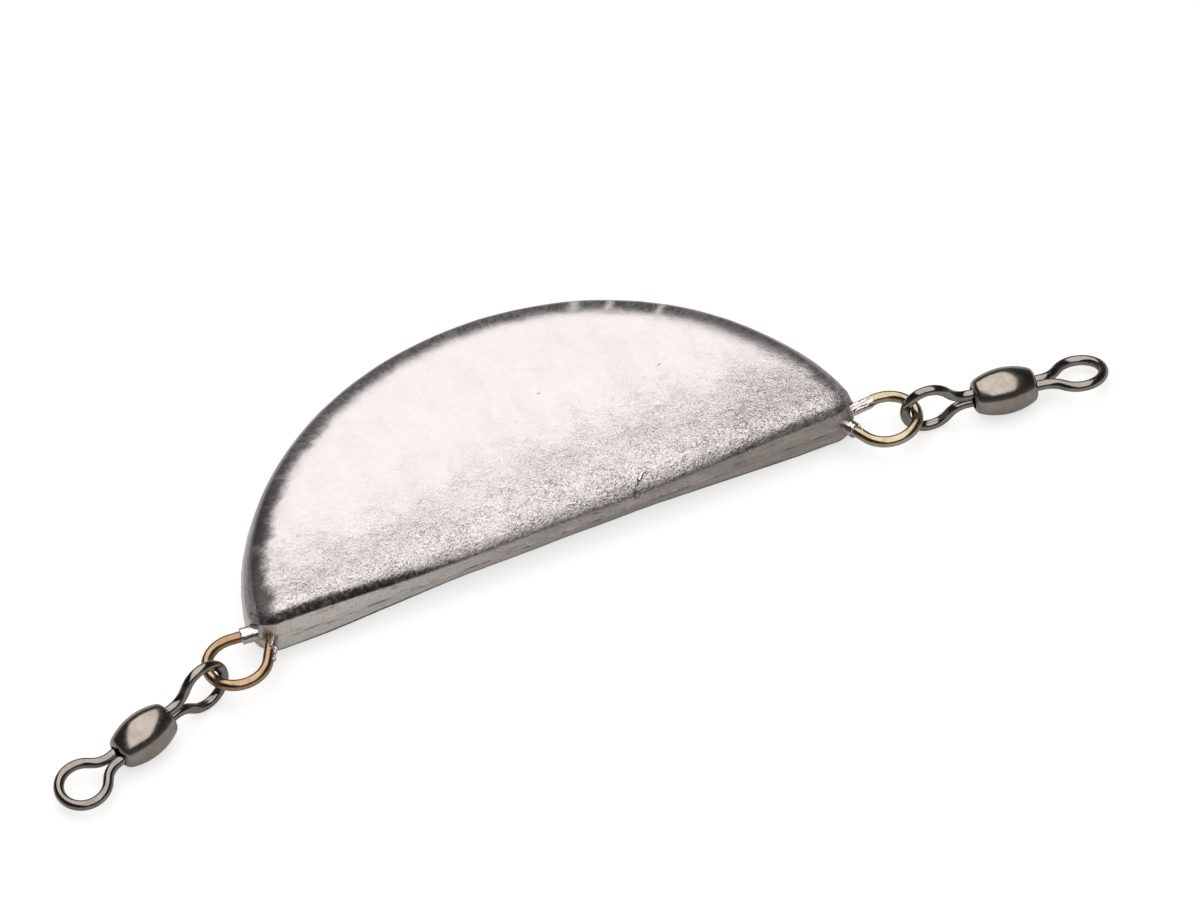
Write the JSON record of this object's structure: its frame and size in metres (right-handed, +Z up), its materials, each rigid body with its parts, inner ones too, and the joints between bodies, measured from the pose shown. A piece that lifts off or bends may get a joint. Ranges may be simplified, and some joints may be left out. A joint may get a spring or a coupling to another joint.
{
  "type": "fishing sinker",
  "caption": "Half-moon cast lead trolling sinker that lies flat, with a wire eye cast into each corner and a barrel swivel linked to each eye.",
  "frame": {"origin": "on the resting face, on the casting's centre line, halfway between the straight edge and the crown of the arc", "axes": "+X along the straight edge to the right eye, +Y from the straight edge to the arc, +Z up out of the upper face"},
  "size_m": [0.1298, 0.047, 0.0071],
  "materials": {
    "cast_lead": "bright as-cast lead with a grainy skin, darker in the rounded rim",
    "bronze_wire": "smooth drawn bronze wire, lightly tarnished",
    "black_nickel": "glossy black nickel plating, satin on the barrel"
  },
  "bodies": {
    "root": {"lead_body": "cast_lead", "left_cast_eye": "bronze_wire", "right_cast_eye": "bronze_wire"},
    "left_inner_eye": {"left_inner_eye": "black_nickel"},
    "left_barrel": {"left_barrel": "black_nickel"},
    "left_outer_eye": {"left_outer_eye": "black_nickel"},
    "right_inner_eye": {"right_inner_eye": "black_nickel"},
    "right_barrel": {"right_barrel": "black_nickel"},
    "right_outer_eye": {"right_outer_eye": "black_nickel"}
  },
  "joints": [
    {"name": "left_link_swing", "type": "hinge", "parent": "root", "child": "left_inner_eye", "pos_m": [-0.04288, -0.0196, 0.00355], "axis": [-0.342, 0.9397, 0], "range_deg": [-135, 145]},
    {"name": "left_barrel_spin", "type": "hinge", "parent": "left_inner_eye", "child": "left_barrel", "pos_m": [-0.05254, -0.02311, 0.00276], "axis": [-0.9369, -0.341, -0.0767], "continuous": true},
    {"name": "left_eye_spin", "type": "hinge", "parent": "left_barrel", "child": "left_outer_eye", "pos_m": [-0.05254, -0.02311, 0.00276], "axis": [-0.9369, -0.341, -0.0767], "continuous": true},
    {"name": "right_link_swing", "type": "hinge", "parent": "root", "child": "right_inner_eye", "pos_m": [0.04308, -0.01876, 0.00355], "axis": [-0.1045, -0.9945, 0], "range_deg": [-135, 145]},
    {"name": "right_barrel_spin", "type": "hinge", "parent": "right_inner_eye", "child": "right_barrel", "pos_m": [0.05329, -0.01984, 0.00276], "axis": [0.9916, -0.1042, -0.0767], "continuous": true},
    {"name": "right_eye_spin", "type": "hinge", "parent": "right_barrel", "child": "right_outer_eye", "pos_m": [0.05329, -0.01984, 0.00276], "axis": [0.9916, -0.1042, -0.0767], "continuous": true}
  ]
}
